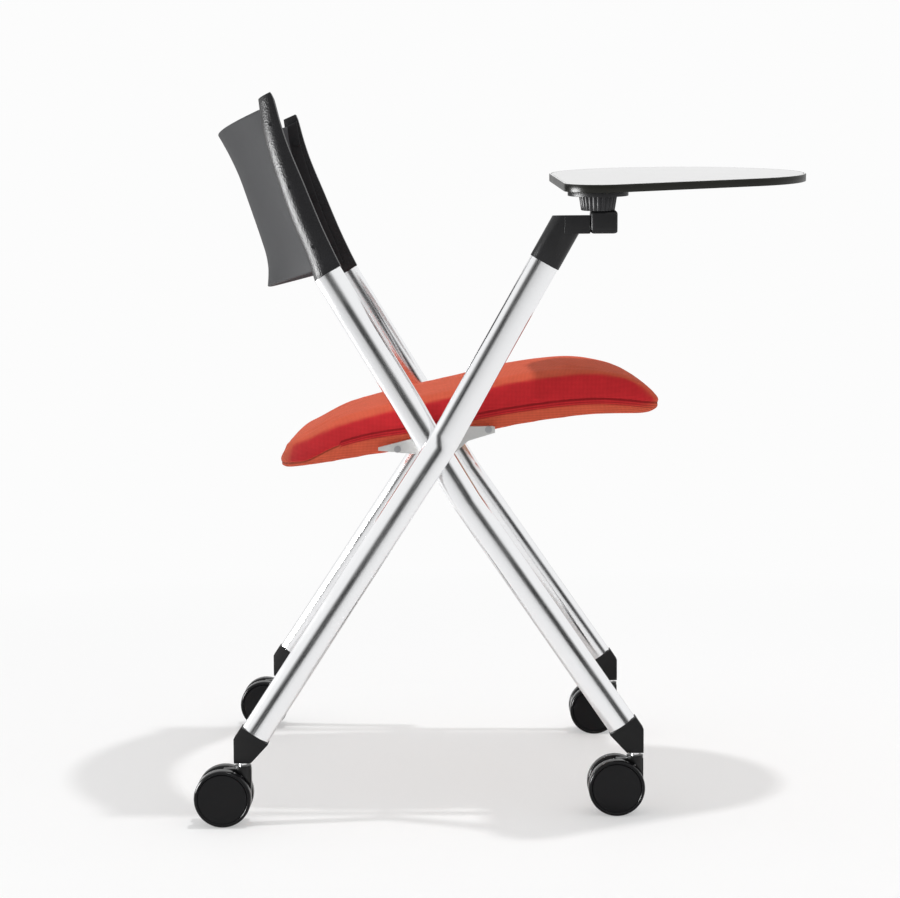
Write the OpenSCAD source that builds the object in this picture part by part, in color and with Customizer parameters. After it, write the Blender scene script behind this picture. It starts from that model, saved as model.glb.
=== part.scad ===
// Nesting chair with crossed oval tubes, a flip-up seat, twin-wheel casters and a folding tablet.
// Lengths are in millimetres. X points to the chair's front and Z up.
// The tablet and its arm are on the -Y side. The origin is on the floor below the chair's middle.

/* [Frame] */
// Height of the point where the two tubes of a side cross
cross_height = 419; // [400:1:440]
// Distance from the origin back to the crossing
cross_back = 83.5; // [70:0.5:100]
// Half the distance between the back tubes at the crossing
inner_half = 206; // [195:1:225]
// Space between the two crossing tubes
cross_gap = 2.8; // [2.2:0.2:5]
// Width of the oval tubes seen from the side
tube_w = 34; // [30:1:36]
// Thickness of the oval tubes
tube_t = 18; // [16:0.5:20]
// Wall of the tubes
tube_wall = 2; // [1.4:0.2:2.6]
// Height of the cut ends of the legs
leg_end = 102; // [98:1:112]
// Height where the back tubes end in the uprights
back_tube_top = 624; // [610:1:650]
// How far below the crossing the back tubes bend
inner_bend_drop = 57.5; // [45:0.5:80]
// How far above the crossing the arm tube bends
arm_bend_rise = 11; // [11:0.5:30]
// Radius of the bends
bend_r = 80; // [60:5:120]
// Diameter of the bolts and welded pegs of the frame
frame_bolt_d = 8; // [6:0.5:9]
// Diameter of the cross tube that carries the seat
cross_tube_d = 14; // [12:0.5:15]
// How far the cross tube lies below the crossing
cross_tube_drop = 13; // [12.5:0.5:14.5]

/* [Frame angles] */
// Slope of the back tubes above their bend
back_angle = 58.8; // [57:0.2:61]
// Slope of the front legs
front_leg_angle = 55.5; // [54:0.2:57.5]
// Slope of the rear legs
rear_leg_angle = 56.7; // [55:0.2:58]
// Slope of the arm above its bend
arm_angle = 60.6; // [59:0.2:62]
// Inward lean of the back tubes and front legs
inner_lean = 2.79; // [2:0.1:3.6]
// Inward lean of the rear legs
outer_lean = 6.95; // [6:0.1:8]
// Outward lean of the arm
arm_lean = 5.85; // [5:0.1:7]

/* [Casters] */
// Diameter of the wheels
wheel_d = 65; // [60:1:68]
// Width of one wheel
wheel_w = 17; // [14:0.5:20]
// Distance from the swivel axis back to the wheel axle
trail = 22; // [18:0.5:24]
// Thickness of the caster body between the wheels
web_t = 10; // [8:0.5:14]
// Space between the caster body and a wheel
wheel_gap = 1; // [0.8:0.1:1.6]
// Diameter of the caster's collar
collar_d = 19; // [17:0.5:20]
// Diameter of the caster stem
stem_d = 10; // [8:0.5:11]
// Diameter of the wheel axle
axle_d = 6; // [5:0.5:8]
// Distance from the leg's end out to the swivel axis
stem_reach = 14; // [12:0.5:16]

/* [Back] */
// Length of the uprights above the tubes
upright_len = 212; // [195:1:230]
// Thickness of the uprights
upright_t = 20; // [19:0.5:24]
// Thickness of the back shell
shell_t = 4; // [3:0.5:6]
// Depth of the shell's hollow behind the uprights
shell_depth = 50; // [35:1:60]
// How far the top and bottom lips of the shell roll out
shell_lip = 17; // [8:1:22]

/* [Seat] */
// Length of the cushion from back to front
seat_len = 457; // [440:1:470]
// Distance from the crossing back to the cushion's rear end
seat_rear = 194.5; // [185:0.5:200]
// Height of the cushion from its lowest to its highest point
seat_high = 121.5; // [110:0.5:126]
// Distance from the crossing down to the cushion's lowest point
seat_drop = 23; // [20:0.5:26]
// Space between the cushion's side and the tubes
seat_side_gap = 8; // [6:0.5:12]
// Thickness of the seat pan
pan_t = 8; // [6:0.5:12]
// Thickness of the seat brackets
bracket_t = 7; // [5:0.5:8]

/* [Tablet] */
// Radius of the tablet's large end
tablet_R = 154; // [140:1:165]
// Radius of the tablet's small end
tablet_r = 38.5; // [36:0.5:42]
// Distance between the centres of the two ends
tablet_reach = 228; // [210:1:245]
// Thickness of the tablet
tablet_t = 9; // [7:0.5:14]
// Width of the edge band
band_w = 3; // [2:0.5:5]
// Height of the folding axis
fold_height = 675; // [668:1:690]
// Distance from the arm forward to the swivel axis
head_reach = 37.6; // [36:0.2:44]
// Distance from the folding axis up to the tablet's top
head_rise = 49; // [46:0.5:60]
// Diameter of the folding pin
fold_pin_d = 8; // [6:0.5:9]
// Diameter of the ribbed hub
hub_d = 43; // [38:1:48]
// Diameter of the mounting plate
plate_d = 68; // [60:1:70]
// Thickness of the mounting plate
plate_t = 5; // [4:0.5:8]

/* [Tablet angles] */
// Tilt of the writing surface in use
tablet_tilt = 5.2; // [0:0.2:10]
// Direction of the tablet in use, forward of straight inward
tablet_turn = 28.1; // [10:0.5:60]

/* [Hidden] */
$fn = 64;
overrun = 1;
run_fit = 0.05;
press_gap = 0.02;
seat_fit = 0.3;
cap_lip = 1;
bend_lap = 0.8;
bend_swell = 0.1;

cross_x = -cross_back;
outer_half = inner_half + tube_t + cross_gap;
wheel_r = wheel_d / 2;

// Directions of the tubes of the right side, which rise by one unit of height
function unit(v) = v / norm(v);
up_back = [-1 / tan(back_angle), tan(inner_lean), 1];
up_front_leg = [-1 / tan(front_leg_angle), tan(inner_lean), 1];
up_rear_leg = [1 / tan(rear_leg_angle), tan(outer_lean), 1];
up_arm = [1 / tan(arm_angle), -tan(arm_lean), 1];

// Key points of the right side
inner_cross = [cross_x, -inner_half, cross_height];
outer_cross = [cross_x, -outer_half, cross_height];
inner_bend = inner_cross - inner_bend_drop * up_back;
inner_top = inner_cross + (back_tube_top - cross_height) * up_back;
inner_foot = inner_bend - (inner_bend[2] - leg_end) * up_front_leg;
outer_bend = outer_cross + arm_bend_rise * up_rear_leg;
outer_foot = outer_cross - (cross_height - leg_end) * up_rear_leg;
inner_thin = unit(cross(up_back, up_front_leg));
arm_at_fold = outer_bend + (fold_height - outer_bend[2]) * up_arm;

// Places a child drawn on three given axes
module placed(p, x, y, z)
  multmatrix([[x[0], y[0], z[0], p[0]], [x[1], y[1], z[1], p[1]],
    [x[2], y[2], z[2], p[2]], [0, 0, 0, 1]]) children();

module mirrored(left) {
  if (left) mirror([0, 1, 0]) children();
  else children();
}

module oval(w, t) {
  square([w - t, t], center = true);
  for (side = [-1, 1]) translate([side * (w - t) / 2, 0]) circle(d = t);
}

module tube_outline(grow) oval(tube_w + 2 * grow, tube_t + 2 * grow);

module tube_ring(grow = 0) difference() {
  tube_outline(grow);
  tube_outline(-tube_wall - grow);
}

module tube_section(hollow, grow) {
  if (hollow) tube_ring(grow);
  else tube_outline(grow);
}

// A straight tube between two points with its thin side along the direction given
module straight_tube(a, b, lift = 0, thin = [0, 1, 0]) {
  t = unit(b - a);
  wide = unit(cross(thin, t));
  placed(a - lift * t, wide, cross(t, wide), t) linear_extrude(norm(b - a) + lift) children();
}

// A tube from a to c, bent at b, with its wide side turned by phi from the plane of the bend.
// The first child is the section of its straight runs. The second is that of the pressed bend,
// which is a little fuller and laps over both runs.
module bent_tube(a, b, c, phi) {
  t1 = unit(b - a);
  t2 = unit(c - b);
  n = unit(cross(t1, t2));
  out = cross(t1, n);
  turn = acos(t1 * t2);
  set = bend_r * tan(turn / 2);
  lap = atan(bend_lap / bend_r);
  placed(b - set * t1 - bend_r * out, out, t1, n) {
    translate([bend_r, 0, 0]) rotate([90, 0, 0]) linear_extrude(norm(b - a) - set)
      rotate(phi) children(0);
    rotate(-lap) rotate_extrude(angle = turn + 2 * lap) translate([bend_r, 0])
      rotate(phi) children(1);
    rotate(turn) translate([bend_r, 0, 0]) rotate([-90, 0, 0]) linear_extrude(norm(c - b) - set)
      rotate(-phi) children(0);
  }
}

function bend_turn(a, b, c) =
  let (t1 = unit(b - a), t2 = unit(c - b), n = unit(cross(t1, t2)), wide = unit(cross([0, 1, 0], t1)))
  atan2(wide * n, wide * cross(t1, n));

// Back tubes, the arm tube and the left rear leg

module inner_tube(hollow, grow = 0) bent_tube(inner_foot, inner_bend, inner_top, 0) {
  tube_section(hollow, grow);
  tube_section(hollow, grow + bend_swell);
}

arm_top_gap = 8;
arm_end = arm_at_fold - arm_top_gap * up_arm;

module outer_tube(hollow, grow = 0) bent_tube(outer_foot, outer_bend, arm_end,
  bend_turn(outer_foot, outer_bend, arm_end)) {
    tube_section(hollow, grow);
    tube_section(hollow, grow + bend_swell);
  }

// The bolt passes the back tube and ends in the inner wall of the outer tube
bolt_hole_d = frame_bolt_d + 2 * press_gap;
module bolt_hole() translate(outer_cross) rotate([-90, 0, 0]) cylinder(d = bolt_hole_d, h = 2 * tube_w);

module back_tube(left) color("silver") mirrored(left) difference() {
  inner_tube(true);
  bolt_hole();
}

module arm_tube_right() color("silver") difference() {
  outer_tube(true);
  bolt_hole();
}

// The left rear leg ends on the front edge of the left back tube
leg_over = tube_w / 2;
leg_top = outer_cross + leg_over * unit(up_rear_leg);

module rear_leg_tube_left() color("silver") mirrored(true) difference() {
  straight_tube(outer_foot, leg_top) tube_ring();
  bolt_hole();
}

plug_in = 6;
plug_lip = 5;
module rear_leg_plug_left() color("lightgray") mirrored(true) {
  straight_tube(leg_top, leg_top + plug_lip * unit(up_rear_leg)) tube_outline(0);
  straight_tube(leg_top, leg_top + plug_lip / 2 * unit(up_rear_leg), plug_in)
    tube_outline(-tube_wall - run_fit);
}

// Spacers and bolts that join the crossing tubes
spacer_d = 15;
module crossing_spacers() color("gray") for (left = [false, true]) mirrored(left) difference() {
  translate([cross_x, -inner_half - (tube_t + cross_gap) / 2, cross_height]) rotate([90, 0, 0])
    cylinder(d = spacer_d, h = cross_gap + tube_t, center = true);
  bolt_hole();
  inner_tube(false);
  if (left) straight_tube(outer_foot, leg_top) tube_outline(0);
  else outer_tube(false);
}

bolt_head_h = 3;
bolt_head_d = 11;
bolt_head_set = bolt_head_d / 2 * tan(inner_lean);
module crossing_bolts() color("dimgray") for (left = [false, true]) mirrored(left)
  translate([cross_x, -inner_half + tube_t / 2, cross_height]) rotate([90, 0, 0]) {
    cylinder(d = frame_bolt_d, h = tube_t + cross_gap + tube_wall);
    translate([0, 0, -bolt_head_h - bolt_head_set])
      cylinder(d = bolt_head_d, h = bolt_head_h);
    translate([0, 0, -bolt_head_set - bolt_head_h / 2])
      cylinder(d = frame_bolt_d, h = bolt_head_set + bolt_head_h);
  }

// Cross tube between the back tubes, and the pegs that stop the seat
seat_axis = [cross_x, 0, cross_height - cross_tube_drop];
cross_tube_wall = 2;
module cross_tube() color("silver") difference() {
  translate(seat_axis) rotate([90, 0, 0]) cylinder(d = cross_tube_d, h = 2 * inner_half, center = true);
  translate(seat_axis) rotate([90, 0, 0])
    cylinder(d = cross_tube_d - 2 * cross_tube_wall, h = 2 * (inner_half + overrun), center = true);
  for (left = [false, true]) mirrored(left) inner_tube(false);
}

seat_half = inner_half - tube_t / 2 - seat_side_gap;
bracket_out = seat_half + 2;
bracket_in = bracket_out - bracket_t;
stop_d = 7;
stop_fore = 17.5;
// Reach of a seat bracket to the back and front of its axis, and its height above the axis
bracket_back = 68;
bracket_fore = 67.4;
bracket_high = 33.5;
// The bracket's edges in shares of its reach and then of its height
bracket_top_shares = [[-1, 0.507], [-0.512, 0.758], [0, 1], [0.57, 1.218], [0.96, 1.228], [1, 1.2]];
bracket_low_shares = [[1, 1], [0.96, 0.976], [0.54, 0.722], [0.19, 0.1], [-0.1, -0.2], [-0.374, 0.272],
  [-1, 0.4]];
function bracket_x(share) = cross_x + share * (share < 0 ? bracket_back : bracket_fore);
// The pegs lie under the sloping lower edge just before the axis
stop_edge = bracket_low_shares[3];
stop_slope = atan2(bracket_high * (bracket_low_shares[2][1] - stop_edge[1]),
  bracket_fore * (bracket_low_shares[2][0] - stop_edge[0]));
stop_at = [cross_x + stop_fore, 0, seat_axis[2] + bracket_high * stop_edge[1]
  + (stop_fore - bracket_fore * stop_edge[0]) * tan(stop_slope) - stop_d / 2 / cos(stop_slope) - run_fit];
module seat_stop_pins() color("dimgray") for (left = [false, true]) mirrored(left) difference() {
  translate([stop_at[0], -inner_half, stop_at[2]]) rotate([-90, 0, 0])
    cylinder(d = stop_d, h = inner_half - bracket_out + bracket_t / 2);
  inner_tube(false);
}

// Uprights and the back shell

blade_up = unit(up_back);
blade_front = unit([sin(back_angle), 0, cos(back_angle)]
  - ([sin(back_angle), 0, cos(back_angle)] * blade_up) * blade_up);
blade_side = cross(blade_up, blade_front);
// Places along the upright in shares of its length, then across it in shares of the tube's width
blade_rear_shares = [[0, -0.52], [0.06, -0.42], [0.17, -0.28], [0.347, -0.12], [0.575, 0.182],
  [0.815, 0.579], [0.95, 0.93], [1, 1.07]];
blade_front_shares = [[0, 0.52], [0.08, 0.56], [0.25, 0.68], [0.494, 0.918], [0.7, 1.12],
  [0.831, 1.31], [0.96, 1.545], [0.99, 1.56]];
blade_outline = [
  for (p = blade_rear_shares) [p[1] * tube_w, p[0] * upright_len],
  for (i = [len(blade_front_shares) - 1:-1:0])
    [blade_front_shares[i][1] * tube_w, blade_front_shares[i][0] * upright_len]];

function blade_rear(a) = lookup(a, blade_rear_shares) * tube_w;
function blade_point(a, c, y) = inner_top + a * upright_len * blade_up + c * blade_front
  + y * blade_side;

spigot_len = 45;
shell_screw_d = 5;
shell_screw_shares = [0.16, 0.5, 0.84];
flange = 18.5;
screw_set = 13;

module shell_screw_axes() for (a = shell_screw_shares)
  placed(blade_point(a, blade_rear(a) + screw_set, 0), blade_front, blade_up, -blade_side) children();

module upright(left) color([0.12, 0.12, 0.13]) mirrored(left) difference() {
  union() {
    placed(inner_top - blade_side * upright_t / 2 + press_gap * blade_up, blade_front, blade_up, -blade_side)
      translate([0, 0, -upright_t]) linear_extrude(upright_t) polygon(blade_outline);
    straight_tube(inner_top, inner_top + tube_t * blade_up, spigot_len, inner_thin)
      tube_outline(-tube_wall - run_fit);
  }
  shell_screw_axes() cylinder(d = shell_screw_d + 2 * press_gap, h = 2 * upright_t, center = true);
}

// The shell's plan follows the sitter's back, and its sides turn forward along the uprights
shell_low_share = 0.05;
shell_high_share = 0.95;
shell_rows = 16;
shell_cols = 12;
shell_dip = 19.5;
// Places up the shell, then how far its lips have rolled out there
lip_shares = [[0, 1], [0.06, 0.72], [0.14, 0.4], [0.25, 0.12], [0.4, 0], [0.6, 0], [0.75, 0.08],
  [0.87, 0.35], [0.95, 0.72], [1, 1]];
shell_side = upright_t / 2 + seat_fit;
function shell_share(s) = shell_low_share + s * (shell_high_share - shell_low_share);
// A point of the shell's front face at height s, where u runs from the right side to the middle
function shell_edge(s) = let (a = shell_share(s)) blade_point(a, blade_rear(a) + shell_t, shell_side);
function shell_face(s, u) =
  let (e = shell_edge(s), bulge = 1 - (1 - u) * (1 - u),
    deep = shell_depth + shell_lip * lookup(s, lip_shares))
  [e[0] - deep * bulge - shell_t * u, e[1] * (1 - u), e[2] - shell_dip * bulge];
function shell_flange(s, inset) =
  let (a = shell_share(s)) blade_point(a, blade_rear(a) + flange, shell_side + inset);
function shell_corner(s) =
  let (a = shell_share(s)) blade_point(a, blade_rear(a) + shell_t, shell_side + shell_t);
// The rear face lies one wall behind the front face, measured square to the plan curve
function shell_rear(s, u) =
  let (p = shell_face(s, u), e = shell_edge(s), deep = shell_depth + shell_lip * lookup(s, lip_shares),
    slope = 2 * (1 - u) * deep / -e[1])
  p + shell_t * [-1, -slope, 0] / norm([1, slope]);

// Each row runs from the right flange over the rear face to the left one and back over the front
function shell_half_rear(s) = [shell_flange(s, 0), shell_edge(s) - [shell_t, 0, 0],
  for (j = [1:shell_cols]) shell_rear(s, j / shell_cols)];
function shell_half_front(s) = [shell_flange(s, shell_t), shell_corner(s) + [shell_t, 0, 0],
  for (j = [1:shell_cols]) shell_face(s, j / shell_cols)];
function flip_y(v) = [v[0], -v[1], v[2]];
function shell_ring(s) = let (r = shell_half_rear(s), f = shell_half_front(s), n = len(r) - 1)
  [each r, for (i = [n - 1:-1:0]) flip_y(r[i]), for (i = [0:n - 1]) flip_y(f[i]), for (i = [n:-1:0]) f[i]];
shell_rings = [for (k = [0:shell_rows]) shell_ring(k / shell_rows)];

// A closed skin over rings of points, its ends closed by strips between opposite points
module skin(rings) {
  n = len(rings[0]);
  m = len(rings);
  sides = [for (k = [0:m - 2]) for (i = [0:n - 1])
    let (a = k * n + i, b = k * n + (i + 1) % n) each [[a, b, a + n], [b, b + n, a + n]]];
  cap = [for (i = [0:n / 2 - 2])
    each [[i, n - 1 - i, i + 1], [i + 1, n - 1 - i, n - 2 - i]]];
  top = [for (t = cap) [for (v = [2, 1, 0]) t[v] + (m - 1) * n]];
  polyhedron([for (r = rings) each r], [each sides, each cap, each top]);
}

module back_shell() color([0.25, 0.25, 0.27]) difference() {
  skin(shell_rings);
  for (left = [false, true]) mirrored(left) shell_screw_axes()
    cylinder(d = shell_screw_d + 2 * press_gap, h = 2 * upright_t, center = true);
}

shell_screw_head_d = 9;
shell_screw_head_h = 2.5;
module shell_screws() color("dimgray") for (left = [false, true]) mirrored(left) shell_screw_axes()
  translate([0, 0, -shell_side - shell_t - shell_screw_head_h - 2 * run_fit]) {
    cylinder(d = shell_screw_head_d, h = shell_screw_head_h);
    cylinder(d = shell_screw_d, h = upright_t + shell_t + shell_screw_head_h);
  }

// Leg caps and casters

cap_drop = 31;
cap_low_share = 0.5;
cap_shoulder_share = 0.09;
stem_in = 24;
cap_t = tube_t + 2 * cap_lip;
cap_spigot = 28;
cap_chamfer = 3;

// A cap seen from the side, with the leg sloping up and back from it
module cap_outline(angle) {
  edge = (tube_w / 2 + cap_lip) * [sin(angle), cos(angle)];
  lap = cap_lip * [-cos(angle), sin(angle)];
  low = collar_d * cap_low_share;
  polygon([edge + lap, -edge + lap, -edge, [stem_reach - low, -cap_drop], [stem_reach + low, -cap_drop],
    [stem_reach + low, -cap_drop * cap_shoulder_share]]);
}

module leg_cap(foot, up, angle, out, thin, left) color([0.1, 0.1, 0.1]) mirrored(left) difference() {
  union() {
    difference() {
      cap_block(foot, angle, out);
      straight_tube(foot, foot + cap_spigot * unit(up), press_gap, thin) tube_outline(press_gap);
    }
    straight_tube(foot, foot + cap_spigot * unit(up), cap_lip, thin)
      tube_outline(-tube_wall - run_fit);
  }
  translate([foot[0] + out * stem_reach, foot[1], foot[2] - cap_drop - overrun])
    cylinder(d = stem_d + 2 * run_fit, h = stem_in + overrun + run_fit);
}

module cap_block(foot, angle, out) intersection() {
  translate([foot[0], foot[1] + cap_t / 2, foot[2]]) rotate([90, 0, 0]) linear_extrude(cap_t)
    scale_x(out) cap_outline(angle);
  translate(foot) rotate([90, 0, 90]) linear_extrude(2 * (cap_drop + tube_w), center = true)
    polygon([[-cap_t / 2, cap_drop], [-cap_t / 2, -cap_drop + cap_chamfer * 2],
      [-cap_t / 2 + cap_chamfer / 2, -cap_drop], [cap_t / 2 - cap_chamfer / 2, -cap_drop],
      [cap_t / 2, -cap_drop + cap_chamfer * 2], [cap_t / 2, cap_drop]]);
}

module scale_x(out) {
  if (out < 0) mirror([1, 0]) children();
  else children();
}

module rear_cap(left) leg_cap(outer_foot, up_rear_leg, rear_leg_angle, -1, [0, 1, 0], left);
module front_cap(left) leg_cap(inner_foot, up_front_leg, front_leg_angle, 1, inner_thin, left);

// The wheels of every caster point to the rear
rear_swivel = [outer_foot[0] - stem_reach, outer_foot[1], 0];
front_swivel = [inner_foot[0] + stem_reach, inner_foot[1], 0];
neck = 3.6;
collar_top = leg_end - cap_drop - neck;
collar_low_share = 0.68;
web_r = wheel_r - 3.5;
collar_in = 18;
axle_in_share = 0.76;
hub_bore_d = axle_d + 2 * run_fit;
axle_half = web_t / 2 + wheel_gap + wheel_w * axle_in_share - wheel_gap / 2;

module at_caster(swivel, left) mirrored(left) translate(swivel) children();
module along_axle() translate([-trail, 0, wheel_r]) rotate([90, 0, 0]) children();

module caster_stem(swivel, left) color("silver") at_caster(swivel, left)
  translate([0, 0, collar_top - collar_in]) cylinder(d = stem_d, h = neck + collar_in + stem_in);

module caster_body(swivel, left) color([0.08, 0.08, 0.08]) at_caster(swivel, left) difference() {
  union() {
    translate([0, 0, wheel_r * (2 - collar_low_share)]) cylinder(d = collar_d,
      h = collar_top - wheel_r * (2 - collar_low_share));
    along_axle() cylinder(r = web_r, h = web_t, center = true);
    translate([-trail, -web_t / 2, wheel_r]) cube([trail + collar_d / 2, web_t, wheel_r - wheel_gap]);
  }
  along_axle() for (side = [0, 1]) mirror([0, 0, side]) translate([0, 0, web_t / 2])
    cylinder(r = wheel_r + wheel_gap, h = collar_d);
  along_axle() cylinder(d = axle_d + 2 * press_gap, h = web_t + 2 * overrun, center = true);
  translate([0, 0, collar_top - collar_in - run_fit])
    cylinder(d = stem_d + 2 * press_gap, h = collar_in + run_fit + overrun);
}

module caster_axle(swivel, left) color("silver") at_caster(swivel, left) along_axle()
  cylinder(d = axle_d, h = 2 * axle_half, center = true);

tyre_round = 3;
rim_groove = 1;
rim_share = 0.8;
module wheel_profile() polygon([[hub_bore_d / 2, 0], [wheel_r - tyre_round, 0],
  [wheel_r - tyre_round / 4, tyre_round / 4], [wheel_r, tyre_round], [wheel_r, wheel_w - tyre_round],
  [wheel_r - tyre_round / 4, wheel_w - tyre_round / 4], [wheel_r - tyre_round, wheel_w],
  [wheel_r * rim_share, wheel_w], [wheel_r * rim_share - rim_groove, wheel_w - rim_groove],
  [0, wheel_w - rim_groove], [0, wheel_w * axle_in_share], [hub_bore_d / 2, wheel_w * axle_in_share]]);

// The outer wheel is the one on the outside of the chair
module wheel(swivel, left, inner) color([0.05, 0.05, 0.05]) at_caster(swivel, left) along_axle()
  mirror([0, 0, inner]) translate([0, 0, web_t / 2 + wheel_gap]) rotate_extrude() wheel_profile();

// Arm head: a fixed sleeve, the folding knuckle and the swivel of the tablet

fold_point = [arm_at_fold[0] + head_reach, arm_at_fold[1], fold_height];
sleeve_t = 24;
sleeve_wall = 1.2;
sleeve_len = 44;
sleeve_high = 13;
sleeve_low = 7.5;
joint_back = 9.5;
fold_gap = 0.8;
knuckle_low = 7;
knuckle_t = 26;
knuckle_front = 21.5;
hub_low = 18.7;
fold_sweep_r = hub_low - 1.2;
plate_low = head_rise - tablet_t - plate_t;

module arm_sleeve() color([0.1, 0.1, 0.1]) difference() {
  union() {
    difference() {
      straight_tube(arm_end - (sleeve_len - arm_top_gap) * unit(up_arm), arm_at_fold
        + sleeve_high * up_arm) tube_outline(cap_lip);
      translate([arm_at_fold[0] - tube_w, fold_point[1] - tube_w, fold_height + sleeve_high])
        cube([2 * tube_w, 2 * tube_w, tube_w]);
    }
    intersection() {
      translate([arm_at_fold[0], fold_point[1] - sleeve_t / 2, fold_height - sleeve_low])
        cube([head_reach - joint_back, sleeve_t, sleeve_low + sleeve_high]);
      translate([arm_at_fold[0], fold_point[1], fold_height]) rotate([0, 90, 0])
        cylinder(r = fold_sweep_r, h = head_reach);
    }
  }
  outer_tube(false, run_fit);
  translate([arm_at_fold[0] + tube_wall, fold_point[1], fold_height]) rotate([0, 90, 0])
    cylinder(d = fold_pin_d + 2 * press_gap, h = head_reach);
}

pin_in_knuckle_share = 0.88;
module fold_pin() color("silver")
  translate([arm_at_fold[0] + tube_wall + run_fit, fold_point[1], fold_height]) rotate([0, 90, 0])
    cylinder(d = fold_pin_d, h = head_reach - tube_wall + knuckle_front * pin_in_knuckle_share);

// Everything that folds is drawn with its origin on the folding axis below the tablet's pivot
module at_fold() translate(fold_point) rotate([tablet_tilt, 0, 0]) children();

spindle_d = 14;
knuckle_len = joint_back - fold_gap + knuckle_front;
module tablet_knuckle() color([0.13, 0.13, 0.13]) at_fold() difference() {
  union() {
    translate([fold_gap - joint_back, -knuckle_t / 2, 0]) cube([knuckle_len, knuckle_t, hub_low]);
    intersection() {
      translate([fold_gap - joint_back, -knuckle_t / 2, -knuckle_low])
        cube([knuckle_len, knuckle_t, knuckle_low]);
      translate([fold_gap - joint_back, 0, 0]) rotate([0, 90, 0])
        cylinder(d = knuckle_t, h = knuckle_len);
    }
  }
  translate([-joint_back, 0, 0]) rotate([0, 90, 0])
    cylinder(d = fold_pin_d + 2 * run_fit, h = joint_back + knuckle_front * pin_in_knuckle_share + fold_gap);
}

rib_count = 24;
rib_d = 4;
hub_bore_low = 3;
module ribbed_hub() color("dimgray") at_fold() difference() {
  translate([0, 0, hub_low]) linear_extrude(plate_low - hub_low - run_fit * 2) {
    circle(d = hub_d - rib_d);
    for (i = [0:rib_count - 1]) rotate(i / rib_count * 360)
      translate([(hub_d - rib_d) / 2, 0]) circle(d = rib_d, $fn = 16);
  }
  translate([0, 0, hub_low + hub_bore_low]) cylinder(d = spindle_d + 2 * run_fit, h = head_rise);
}

module swivel_spindle() color("silver") at_fold()
  translate([0, 0, hub_low + hub_bore_low + run_fit])
    cylinder(d = spindle_d, h = plate_low - hub_low - hub_bore_low - run_fit);

screw_ring_share = 0.72;
plate_screw_d = 5;
plate_screw_in = 5;
plate_head_d = 9;
plate_head_h = 2;
plate_screw_count = 4;
module plate_screw_axes() for (i = [0:plate_screw_count - 1])
  rotate((i + 1 / 2) / plate_screw_count * 360 - tablet_turn)
    translate([plate_d / 2 * screw_ring_share + plate_head_h, 0, 0]) children();

module mounting_plate() color([0.1, 0.1, 0.1]) at_fold() difference() {
  translate([0, 0, plate_low]) cylinder(d = plate_d, h = plate_t);
  plate_screw_axes() {
    translate([0, 0, plate_low - overrun])
      cylinder(d = plate_screw_d + 2 * press_gap, h = plate_t + 2 * overrun);
    translate([0, 0, plate_low - overrun])
      cylinder(d = plate_head_d + 2 * press_gap, h = plate_head_h + overrun);
  }
}

module plate_screws() color("silver") at_fold() plate_screw_axes() translate([0, 0, plate_low]) {
  cylinder(d = plate_head_d, h = plate_head_h);
  cylinder(d = plate_screw_d, h = plate_t + plate_screw_in);
}

// The tablet points along its own X axis from the pivot before it is turned into place
module at_tablet() at_fold() translate([0, 0, head_rise - tablet_t]) rotate(90 - tablet_turn) children();

module tablet_outline(inset) {
  R = tablet_R - inset;
  r = tablet_r - inset;
  lean = acos((R - r) / tablet_reach);
  touch = [cos(lean), sin(lean)];
  circle(r = r, $fn = 96);
  translate([tablet_reach, 0]) circle(r = R, $fn = 160);
  mirror([1, 0]) translate([-tablet_reach, 0])
    polygon([R * touch, [tablet_reach + r * touch[0], r * touch[1]],
    [tablet_reach + r * touch[0], -r * touch[1]], [R * touch[0], -R * touch[1]]]);
}

cap_at = 28;
screw_cap_d = 9.5;
screw_cap_t = 1.5;
module screw_cap_axes() for (side = [-1, 1])
  translate([side * cap_at, 0, tablet_t - screw_cap_t]) children();

module tablet_board() color("white") difference() {
  at_tablet() linear_extrude(tablet_t) tablet_outline(band_w);
  at_tablet() screw_cap_axes() cylinder(d = screw_cap_d + 2 * press_gap, h = screw_cap_t + overrun);
  at_fold() plate_screw_axes() translate([0, 0, plate_low])
    cylinder(d = plate_screw_d + 2 * press_gap, h = plate_t + plate_screw_in + run_fit);
}

module tablet_edge_band() color([0.1, 0.1, 0.08]) at_tablet() linear_extrude(tablet_t) difference() {
  tablet_outline(0);
  tablet_outline(band_w);
}

module tablet_screw_caps() color("lightgray") at_tablet() screw_cap_axes()
  cylinder(d = screw_cap_d, h = screw_cap_t);

// Seat: cushion, pan, brackets and screws

seat_x0 = cross_x - seat_rear;
seat_z0 = cross_height - seat_drop;
// Along the seat in shares of its length: place, top, underside and seam in shares of its height,
// and half width as a share
seat_shares = [
  [0, 0.075, 0.012, 0.04, 0.68], [0.013, 0.15, 0, 0.045, 0.81], [0.043, 0.26, 0.004, 0.05, 0.9],
  [0.093, 0.395, 0.033, 0.08, 0.96], [0.16, 0.532, 0.066, 0.205, 0.99], [0.247, 0.635, 0.123, 0.32, 1],
  [0.345, 0.73, 0.175, 0.4, 1], [0.477, 0.82, 0.275, 0.495, 1], [0.608, 0.915, 0.395, 0.585, 1],
  [0.74, 0.978, 0.474, 0.65, 1], [0.834, 1, 0.506, 0.67, 0.99], [0.912, 0.945, 0.512, 0.652, 0.97],
  [0.952, 0.872, 0.512, 0.632, 0.945], [0.979, 0.8, 0.53, 0.622, 0.905],
  [0.995, 0.735, 0.568, 0.615, 0.865], [1, 0.67, 0.605, 0.62, 0.83]];
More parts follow.
